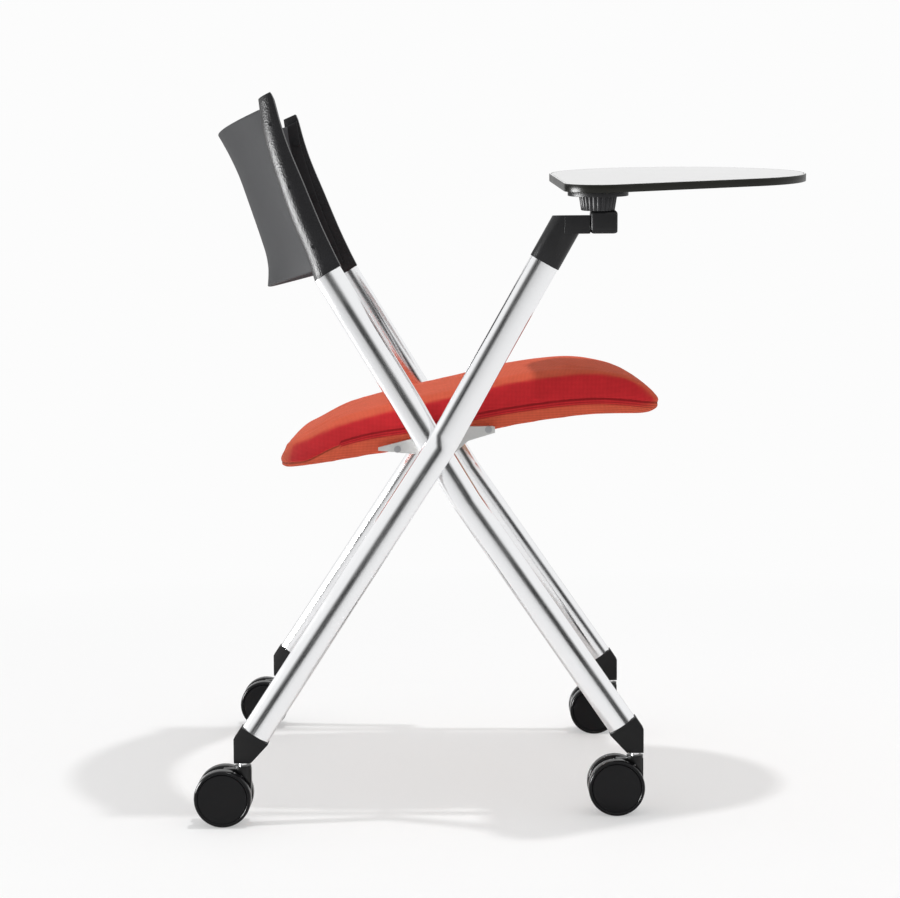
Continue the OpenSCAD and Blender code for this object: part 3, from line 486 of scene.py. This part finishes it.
# Casters
# Twin wheels of glossy black nylon turn on a steel axle in a moulded body with a collar.
# A stem that shows as a bright neck under the leg cap lets the whole caster swivel.
caster_nylon = grained_finish("caster_nylon", (0.008, 0.008, 0.0085), 0.3, 2600, 0.12, 0.08,
                              Specular_IOR_Level=0.3)
wheel_nylon = grained_finish("wheel_nylon", (0.006, 0.006, 0.0068), 0.16, 3000, 0.04, 0.08,
                             Specular_IOR_Level=0.17)
body_round = 0.0008
wheel_radius, caster_trail, stem_reach = 0.0325, 0.022, 0.014
web_thickness, wheel_gap, wheel_bore, wheel_weld = 0.010, 0.001, 0.0031, 1e-6
wheel_profile_places = [(wheel_bore, 0.0), (0.0250, 0.0), (0.0256, 0.0006), (0.0262, 0.0), (0.0298, 0.0),
                        (0.0310, 0.0003), (0.0320, 0.0011), (0.0325, 0.0026), (0.0325, 0.0135),
                        (0.0321, 0.0152), (0.0313, 0.0164), (0.0304, 0.0170), (0.0294, 0.0170),
                        (0.0289, 0.0167), (0.0285, 0.0158), (0.0280, 0.0156), (0.0276, 0.0162),
                        (0.0150, 0.0166), (0.0, 0.0168)]
wheel_segments = 72


def wheel_mesh(place, facing):
    """A wheel turned about the axle: its profile from the bore over the tread to the outer face."""
    mesh = bmesh.new()
    verts = [mesh.verts.new((radius, facing * (web_thickness / 2 + wheel_gap + out), 0))
             for radius, out in wheel_profile_places]
    edges = [mesh.edges.new(pair) for pair in zip(verts, verts[1:])]
    bmesh.ops.spin(mesh, geom=verts + edges, cent=(0, 0, 0), axis=(0, 1, 0), angle=2 * math.pi,
                   steps=wheel_segments, use_merge=True)
    bmesh.ops.remove_doubles(mesh, verts=mesh.verts, dist=wheel_weld)
    bmesh.ops.translate(mesh, vec=place, verts=mesh.verts)
    return mesh


for corner in corners:
    softened(f"moulded_caster_body_{corner}", f"caster_body_{corner}", body_round, caster_nylon,
             "caster_plastic", f"caster_{corner}")
    foot = rear_foot if corner.startswith("rear") else front_foot
    outward = -1 if corner.startswith("rear") else 1
    left = -1 if corner.endswith("left") else 1
    swivel = Vector((foot.x + outward * stem_reach, left * foot.y, wheel_radius))
    for which, facing in (("outer", -left), ("inner", left)):
        mesh = wheel_mesh(swivel - Vector((caster_trail, 0, 0)), facing)
        finished_piece(f"twin_wheel_{corner}_{which}", mesh, wheel_nylon, "wheel_plastic",
                       f"wheel_{corner}_{which}", f"wheel_{corner}_{which}", crease=50)

# Arm head
# A black moulded sleeve closes the arm and holds the folding pin. The knuckle turns on it
# and carries a ribbed hub, in which the tablet swivels on a spindle below a round plate.
head_moulding = grained_finish("head_moulding", (0.010, 0.010, 0.011), 0.36, 2200, 0.2, 0.06,
                               Specular_IOR_Level=0.3)
hub_moulding = grained_finish("hub_moulding", (0.022, 0.022, 0.024), 0.4, 2200, 0.2, 0.06,
                              Specular_IOR_Level=0.3)
tablet_tilt, tablet_turn = math.radians(5.2), math.radians(28.1)
head_reach, head_rise = 0.0376, 0.049
fold_point = arm_at_fold + Vector((head_reach, 0, 0))
fold_place = Matrix.Translation(fold_point) @ Matrix.Rotation(tablet_tilt, 4, "X")
sleeve_round, knuckle_round, plate_round = 0.0015, 0.0036, 0.0006
softened("moulded_arm_sleeve", "arm_sleeve", sleeve_round, head_moulding, "black_plastic", "frame")
softened("moulded_knuckle", "tablet_knuckle", knuckle_round, head_moulding, "black_plastic",
         "tablet_fold_head", clamp=False)
softened("round_mounting_plate", "mounting_plate", plate_round, head_moulding, "black_plastic", "tablet")
hub_low, hub_top, hub_radius, hub_taper, hub_edge = 0.0187, 0.0349, 0.0215, 0.88, 0.0006
rib_depth, rib_count, rib_steps, rib_fullness = 0.0016, 24, 8, 0.7
mesh = bmesh.new()
ring = bmesh.ops.create_circle(mesh, segments=rib_count * rib_steps, radius=hub_radius,
                               cap_ends=True)["verts"]
for vert in ring:
    turn = math.atan2(vert.co.y, vert.co.x) * rib_count / 2
    vert.co *= 1 - rib_depth / hub_radius * (1 - abs(math.cos(turn)) ** rib_fullness)
made = bmesh.ops.extrude_face_region(mesh, geom=mesh.faces[:])["geom"]
upper = verts_of(made)
lower = [vert for vert in mesh.verts if vert not in upper]
bmesh.ops.scale(mesh, vec=(hub_taper, hub_taper, 1), verts=lower)
bmesh.ops.translate(mesh, vec=(0, 0, hub_top - hub_low), verts=upper)
bmesh.ops.transform(mesh, matrix=fold_place @ Matrix.Translation((0, 0, hub_low)), verts=mesh.verts)
rounded(mesh, sharp_edges(mesh, square_corner), hub_edge, 2)
finished_piece("ribbed_swivel_hub", mesh, hub_moulding, "grey_plastic", "tablet_fold_head", "ribbed_hub")

# Writing tablet
# A 9 mm board with a smooth white laminate on both faces and a glossy black edge band.
# Two light caps close the screw holes over the pivot.
tablet_thickness, band_width = 0.009, 0.003
big_end, small_end, tablet_reach = 0.154, 0.0385, 0.228
arc_steps = (60, 110)
tablet_place = (fold_place @ Matrix.Translation((0, 0, head_rise - tablet_thickness))
                @ Matrix.Rotation(math.pi / 2 - tablet_turn, 4, "Z"))
board_edge, band_edge = 0.0003, 0.0006
laminate = grained_finish("white_laminate", (0.60, 0.60, 0.60), 0.3, 3200, 0.05, 0.012,
                          Specular_IOR_Level=0.3)
band_plastic = grained_finish("edge_band_plastic", (0.014, 0.014, 0.011), 0.26, 1800, 0.05, 0.06,
                              Specular_IOR_Level=0.2)
cap_plastic = grained_finish("cap_plastic", (0.6, 0.6, 0.6), 0.4, 2400, 0.08, 0.03)
dress(cap_plastic, "tablet_screw_caps")


def tablet_face(mesh, inset):
    """A flat face whose outline runs round the small end, along a side, round the big end and back."""
    lean = math.acos((big_end - small_end) / tablet_reach)
    start = Vector((-math.cos(lean), math.sin(lean), 0)) * (small_end - inset)
    last = mesh.verts.new(start)
    first = last
    for centre, radius, angle, steps in ((0, small_end, 2 * lean, arc_steps[0]),
                                         (tablet_reach, big_end, 2 * (math.pi - lean), arc_steps[1])):
        if centre:
            last = bmesh.ops.extrude_vert_indiv(mesh, verts=[last])["verts"][0]
            out = radius - inset
            last.co = (centre - math.cos(lean) * out, -math.sin(lean) * out, 0)
        made = bmesh.ops.spin(mesh, geom=[last], cent=(centre, 0, 0), axis=(0, 0, 1),
                              angle=angle, steps=steps)
        last = verts_of(made["geom_last"])[0]
    mesh.edges.new((last, first))
    return bmesh.ops.contextual_create(mesh, geom=mesh.edges[:])["faces"]


def drawn_up(mesh, faces, height):
    made = bmesh.ops.extrude_face_region(mesh, geom=faces)["geom"]
    bmesh.ops.translate(mesh, vec=(0, 0, height), verts=verts_of(made))


mesh = bmesh.new()
drawn_up(mesh, tablet_face(mesh, band_width), tablet_thickness)
bmesh.ops.recalc_face_normals(mesh, faces=mesh.faces)
rounded(mesh, sharp_edges(mesh, square_corner), board_edge, 1)
bmesh.ops.transform(mesh, matrix=tablet_place, verts=mesh.verts)
finished_piece("laminated_board", mesh, laminate, "white_laminate", "tablet", "tablet_board")
mesh = bmesh.new()
faces = tablet_face(mesh, 0)
rim = bmesh.ops.inset_region(mesh, faces=faces, thickness=band_width, use_boundary=True,
                             use_even_offset=True)["faces"]
bmesh.ops.delete(mesh, geom=[face for face in mesh.faces if face not in rim], context="FACES")
drawn_up(mesh, mesh.faces[:], tablet_thickness)
bmesh.ops.recalc_face_normals(mesh, faces=mesh.faces)
rounded(mesh, sharp_edges(mesh, square_corner), band_edge, 2)
bmesh.ops.transform(mesh, matrix=tablet_place, verts=mesh.verts)
band = finished_piece("glossy_edge_band", mesh, band_plastic, "edge_band", "tablet", "tablet_edge_band")
band.data.materials.append(laminate)
tablet_normal = tablet_place.to_3x3() @ Vector((0, 0, 1))
for face in band.data.polygons:
    face.material_index = int(abs(face.normal.dot(tablet_normal)) > 0.99)

# Seat
# A moulded foam pad on a plywood pan has a knitted cover, red at the sides and orange below the seam.
# Faces turned upwards and downwards are coloured orange too, as painted sheen and painted light.
# A welt runs round the seam between cover and underside, and its dark line is painted shade in the groove.
pan_plywood = grained_finish("pan_plywood", (0.42, 0.3, 0.17), 0.55, 700, 0.2, 0.12)
dress(pan_plywood, "seat_pan")
# side_red is the cover's colour at the sides. The orange is partly the cover's own colour below the seam,
# and partly painted sheen and light on faces turned upwards and downwards.
side_red, orange_and_painted_sheen = (0.53, 0.023, 0.029), (0.60, 0.1, 0.052)
knit_pitch, stitch_pitch = 0.0031, 0.0024


def make_knit():
    """Small crossed loops, with their height and shade."""
    group, put, out = effect_group(
        "knitted_loops",
        {"Place": ("Vector", None), "Pitch": ("Float", knit_pitch)},
        {"Height": "Float", "Tone": "Float"},
    )
    split = add_node(group, "SeparateXYZ", {"Vector": put["Place"]})
    x, y, z = (split.outputs[axis] for axis in "XYZ")
    rate = add_node(group, "Math", {0: 2 * math.pi, 1: put["Pitch"]}, operation="DIVIDE").outputs[0]
    sides = add_node(group, "Math", {0: y, 1: 0.3, 2: z}, operation="MULTIPLY_ADD").outputs[0]
    waves = []
    for way in ("ADD", "SUBTRACT"):
        run = add_node(group, "Math", {0: x, 1: sides}, operation=way).outputs[0]
        turned = add_node(group, "Math", {0: run, 1: rate}, operation="MULTIPLY").outputs[0]
        waves.append(add_node(group, "Math", {0: turned}, operation="SINE").outputs[0])
    loops = add_node(group, "Math", {0: waves[0], 1: waves[1]}, operation="MULTIPLY").outputs[0]
    height = add_node(group, "MapRange", {"Value": loops, "From Min": -1, "From Max": 1}).outputs[0]
    cloud = add_node(group, "TexNoise", {"Vector": put["Place"], "Scale": 60, "Detail": 5})
    uneven = add_node(group, "Mix", {"Factor": 0.35, "A": height, "B": cloud.outputs[0]}).outputs[0]
    tone = add_node(group, "MapRange", {"Value": uneven, "From Min": 0.1, "From Max": 0.9,
                                        "To Min": 0.62, "To Max": 1.3})
    group.links.new(height, out["Height"])
    group.links.new(tone.outputs[0], out["Tone"])
    return group


knitted_loops = make_knit()


def blended(tree, factor, a, b):
    """A mix of two colours or colour links."""
    mix = tree.nodes.new("ShaderNodeMix")
    mix.data_type = "RGBA"
    for socket, value in ((mix.inputs[0], factor), (mix.inputs[6], a), (mix.inputs[7], b)):
        if isinstance(value, bpy.types.NodeSocket):
            tree.links.new(value, socket)
        elif socket.type == "RGBA":
            socket.default_value = (*value, 1)
        else:
            socket.default_value = value
    return mix.outputs[2]


def make_cover():
    """Red at the sides, orange below the seam and painted orange sheen and light on faces turned upwards and
    downwards, with the welt's line of painted shade and stitched lines.
    """
    finish, tree, shader = new_finish("knitted_cover", side_red, 0.85, Specular_IOR_Level=0.06,
                                      Sheen_Weight=0.07, Sheen_Roughness=0.4,
                                      Sheen_Tint=(1, 0.45, 0.25, 1))
    side = add_node(tree, "Attribute", {}, attribute_name="side")
    knit = tree.nodes.new("ShaderNodeGroup")
    knit.node_tree = knitted_loops
    tree.links.new(object_place(tree), knit.inputs["Place"])
    # The side share keeps the red. Elsewhere the orange is painted sheen and painted light.
    colour = blended(tree, side.outputs["Fac"], orange_and_painted_sheen, side_red)
    bump(tree, shader, knit.outputs["Height"], 0.6, 0.0005)
    above = add_node(tree, "Attribute", {}, attribute_name="above_seam").outputs["Fac"]
    # Painted shade: a dark line along the seam's groove. The stitched rows near the seam are thread lines.
    apart = add_node(tree, "Math", {0: above}, operation="ABSOLUTE").outputs[0]
    seam_painted_shade = add_node(tree, "MapRange", {"Value": apart, "From Min": 0.0005, "From Max": 0.0014,
                                       "To Min": 0.5, "To Max": 1.0}).outputs[0]
    turned = add_node(tree, "Math", {0: above, 1: 2 * math.pi / stitch_pitch},
                      operation="MULTIPLY").outputs[0]
    wave = add_node(tree, "Math", {0: turned}, operation="COSINE").outputs[0]
    stitches = add_node(tree, "MapRange", {"Value": wave, "From Min": -1, "From Max": 0.4,
                                           "To Min": 0.62, "To Max": 1.0}).outputs[0]
    within = add_node(tree, "Attribute", {}, attribute_name="stitched").outputs["Fac"]
    lines = add_node(tree, "Mix", {"Factor": within, "A": 1.0, "B": stitches}).outputs[0]
    marked = add_node(tree, "Math", {0: seam_painted_shade, 1: lines}, operation="MULTIPLY").outputs[0]
    shade = add_node(tree, "Math", {0: marked, 1: knit.outputs["Tone"]}, operation="MULTIPLY").outputs[0]
    toned = add_node(tree, "VectorMath", {0: colour, "Scale": shade}, operation="SCALE")
    tree.links.new(toned.outputs[0], shader.inputs["Base Color"])
    return finish


knitted_cover = make_cover()
seat_length, seat_back_reach, seat_height, seat_sink = 0.457, 0.1945, 0.1215, 0.023
seat_start, seat_floor = crossing.x - seat_back_reach, crossing.z - seat_sink
seam_shares = [(0, 0.04), (0.013, 0.045), (0.043, 0.05), (0.093, 0.08), (0.16, 0.205), (0.247, 0.32),
               (0.345, 0.4), (0.477, 0.495), (0.608, 0.585), (0.74, 0.65), (0.834, 0.67), (0.912, 0.652),
               (0.952, 0.632), (0.979, 0.622), (0.995, 0.615), (1, 0.62)]
voxel, shrink, swell_limit = 0.005, 0.0024, 0.0024
rear_blunt, rear_reach = 0.0065, 0.022
crown_lifts = [(0, 0.010), (0.012, 0.0095), (0.024, 0.005), (0.036, 0.001), (0.055, -0.0025),
               (0.08, -0.0045), (0.11, -0.0055), (0.17, -0.0055), (0.23, -0.003), (0.3, 0),
               (0.457, 0)]
crown_fade, free_fade = 0.025, 0.012
cloth_frames, pressure = 20, 4


def seam_height(x):
    """Height of the seam at a place along the seat."""
    return seat_floor + seat_height * eased(seam_shares, held_to_one((x - seat_start) / seat_length))


def settled(piece):
    """The mesh of a piece with its modifiers applied."""
    data = bpy.data.meshes.new_from_object(piece.evaluated_get(bpy.context.evaluated_depsgraph_get()))
    piece.modifiers.clear()
    piece.data = data
    return data


data = cad_nodes["seat_cushion"].data.copy()
cushion = bpy.data.objects.new("knitted_cushion", data)
bpy.context.scene.collection.objects.link(cushion)
mesh = bmesh.new()
mesh.from_mesh(data)
bmesh.ops.remove_doubles(mesh, verts=mesh.verts[:], dist=weld)
mesh.to_mesh(data)
mesh.free()
remesh = cushion.modifiers.new("remesh", "REMESH")
remesh.mode, remesh.voxel_size = "VOXEL", voxel
data = settled(cushion)
held = cushion.vertex_groups.new(name="held")
start_places = []
for vert in data.vertices:
    from_rear = vert.co.x - seat_start
    if from_rear < rear_reach:
        vert.co.x += rear_blunt * (1 - from_rear / rear_reach)
    above = vert.co.z - seam_height(vert.co.x)
    lift = eased(crown_lifts, min(seat_length, max(0, from_rear)))
    vert.co.z += lift * held_to_one(above / crown_fade)
    free = held_to_one(above / free_fade)
    vert.co = vert.co - vert.normal * shrink * free
    if free < 1:
        held.add([vert.index], 1 - free, "REPLACE")
    start_places.append((vert.co.copy(), free))
cloth = cushion.modifiers.new("cloth", "CLOTH")
cloth.settings.quality = 6
cloth.settings.mass = 0.25
cloth.settings.tension_stiffness = cloth.settings.compression_stiffness = 12
cloth.settings.bending_stiffness = 0.6
cloth.settings.use_pressure = True
cloth.settings.uniform_pressure_force = pressure
cloth.settings.effector_weights.gravity = 0
cloth.settings.vertex_group_mass = "held"
cloth.collision_settings.use_collision = False
for step in range(1, cloth_frames + 1):
    bpy.context.scene.frame_set(step)
data = settled(cushion)
bpy.context.scene.frame_set(1)
for vert, (place, free) in zip(data.vertices, start_places):
    moved = vert.co - place
    most = swell_limit * free
    vert.co = place + (moved if moved.length <= most else moved.normalized() * most)
mesh = bmesh.new()
mesh.from_mesh(data)
for turn in range(3):
    bmesh.ops.smooth_vert(mesh, verts=mesh.verts, factor=0.5,
                          use_axis_x=True, use_axis_y=True, use_axis_z=True)
mesh.to_mesh(data)
mesh.free()
finer = cushion.modifiers.new("finer", "SUBSURF")
finer.levels = finer.render_levels = 1
data = settled(cushion)
seam_width, seam_depth = 0.0028, 0.0016
notch_at, notch_end, notch_rise, flap = -0.1963, -0.124, 0.0047, 0.0075
side_from, side_blend, flap_over, flap_blend = 0.45, 0.45, 0.001, 0.002
side = data.attributes.new("side", "FLOAT", "POINT")
above_seam = data.attributes.new("above_seam", "FLOAT", "POINT")
stitched = data.attributes.new("stitched", "FLOAT", "POINT")
sides, moves, heights, stitches = [], [], [], []
for vert in data.vertices:
    off = (vert.co.z - seam_height(vert.co.x)) / seam_width
    level = math.hypot(vert.normal.x, vert.normal.y)
    moves.append(vert.normal * seam_depth * math.exp(-off * off) * level)
    # Painted sheen and light: the more a face turns upwards or downwards, the less red side colour it keeps
    # and the more painted orange it shows.
    turned = held_to_one((abs(vert.normal.y) - side_from) / side_blend)
    notch = notch_rise * held_to_one((notch_end - vert.co.x) / (notch_end - notch_at))
    above = vert.co.z - seam_height(vert.co.x) - (notch if vert.co.x > notch_at else 0)
    heights.append(above)
    inside_flap = vert.co.x > notch_at and -flap < above < flap_over
    stitches.append(1.0 if inside_flap else 0.0)
    # Below the seam the cover takes the orange whichever way it faces.
    upper = held_to_one((above + (flap if vert.co.x > notch_at else 0)) / flap_blend)
    sides.append(turned * turned * (3 - 2 * turned) * upper)
for vert, move in zip(data.vertices, moves):
    vert.co = vert.co - move
side.data.foreach_set("value", sides)
above_seam.data.foreach_set("value", heights)
stitched.data.foreach_set("value", stitches)
data.polygons.foreach_set("use_smooth", [True] * len(data.polygons))
data.materials.clear()
data.materials.append(knitted_cover)
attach(cushion, "seat")
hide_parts("seat_cushion")

# Studio
# A pale floor runs back without an edge under a pale sky and one small, high lamp.
# A second lamp behind the chair is seen only in glossy pieces. The camera stands low at
# the chair's right side, where the picture was taken.
floor_size = 12
lens_length, sensor_width, far_limit = 88, 36, 60
camera_place = (-0.052, -2.730, 0.6378)
world = bpy.data.worlds.new("studio")
bpy.context.scene.world = world
world.use_nodes = True
sky = world.node_tree
sky.nodes.clear()
towards = add_node(sky, "TexCoord", {})
ways = add_node(sky, "SeparateXYZ", {"Vector": towards.outputs["Generated"]})
low_edge = add_node(sky, "MapRange", {"Value": ways.outputs["Z"],
                                      "From Min": -0.06, "From Max": -0.01}).outputs[0]
high_edge = add_node(sky, "MapRange", {"Value": ways.outputs["Z"],
                                       "From Min": 0.24, "From Max": 0.15}).outputs[0]
band = add_node(sky, "Math", {0: low_edge, 1: high_edge}, operation="MULTIPLY").outputs[0]
behind = add_node(sky, "MapRange", {"Value": ways.outputs["Y"], "From Min": -0.3, "From Max": -0.85,
                                    "To Min": 0.45, "To Max": 0.96}).outputs[0]
dark = add_node(sky, "Math", {0: band, 1: behind}, operation="MULTIPLY").outputs[0]
path = add_node(sky, "LightPath", {})
mirrored = blended(sky, dark, (1, 1, 1), (0, 0, 0))
seen = blended(sky, path.outputs["Is Glossy Ray"], (0.78, 0.78, 0.78), mirrored)
seen = blended(sky, path.outputs["Is Camera Ray"], seen, (0.974, 0.974, 0.974))
ambient = add_node(sky, "Background", {"Color": seen, "Strength": 1.0})
add_node(sky, "OutputWorld", {"Surface": ambient.outputs[0]})

mesh = bmesh.new()
bmesh.ops.create_grid(mesh, x_segments=1, y_segments=1, size=floor_size)
floor_data = bpy.data.meshes.new("floor")
mesh.to_mesh(floor_data)
mesh.free()
floor = bpy.data.objects.new("floor", floor_data)
bpy.context.scene.collection.objects.link(floor)
floor_finish, tree, shader = new_finish("pale_floor", (0.86, 0.86, 0.86), 0.7, Specular_IOR_Level=0.1)
white = add_node(tree, "Emission", {"Color": (0.974, 0.974, 0.974, 1), "Strength": 1.0})
path = add_node(tree, "LightPath", {})
away = add_node(tree, "VectorMath", {0: object_place(tree)}, operation="LENGTH")
fade = add_node(tree, "MapRange", {"Value": away.outputs["Value"], "From Min": 0.6, "From Max": 1.8,
                                   "To Min": 0.39, "To Max": 1.0})
part = add_node(tree, "Math", {0: path.outputs["Is Camera Ray"], 1: fade.outputs[0]}, operation="MULTIPLY")
mixed = add_node(tree, "MixShader", {0: part.outputs[0], 1: shader.outputs[0], 2: white.outputs[0]})
tree.links.new(mixed.outputs[0], tree.nodes["Material Output"].inputs["Surface"])
floor_data.materials.append(floor_finish)

for name, place, aim, width, height, power, lights_all in (
    ("overhead_lamp", (0.48, -0.05, 4.15), (0, 0, 0), 0.16, 0.16, 65, True),
    ("tall_rear_lamp", (-1.45, -0.35, 0.36), (-0.28, -0.2, 0.72), 1.1, 0.62, 70, False),
):
    lamp = bpy.data.lights.new(name, "AREA")
    lamp.shape, lamp.size, lamp.size_y, lamp.energy = "ELLIPSE", width, height, power
    stand = bpy.data.objects.new(name, lamp)
    stand.location = place
    stand.rotation_euler = (Vector(aim) - Vector(place)).to_track_quat("-Z", "Y").to_euler()
    stand.visible_camera = False
    stand.visible_diffuse = lights_all
    bpy.context.scene.collection.objects.link(stand)

bpy.context.scene.view_settings.view_transform = "Standard"
camera_data = bpy.data.cameras.new("camera")
camera_data.lens, camera_data.sensor_width = lens_length, sensor_width
camera_data.clip_end = far_limit
camera = bpy.data.objects.new("camera", camera_data)
bpy.context.scene.collection.objects.link(camera)
bpy.context.scene.camera = camera
camera_yaw, camera_pitch, camera_roll = math.radians(0.367), math.radians(4.882), math.radians(-0.35)
look = Vector((-math.sin(camera_yaw) * math.cos(camera_pitch), math.cos(camera_yaw) * math.cos(camera_pitch),
               -math.sin(camera_pitch)))
level = look.cross(Vector((0, 0, 1))).normalized()
upward = level.cross(look)
right = level * math.cos(camera_roll) + upward * math.sin(camera_roll)
upward = upward * math.cos(camera_roll) - level * math.sin(camera_roll)
camera.matrix_world = (Matrix.Translation(camera_place)
                       @ Matrix((right, upward, -look)).transposed().to_4x4())
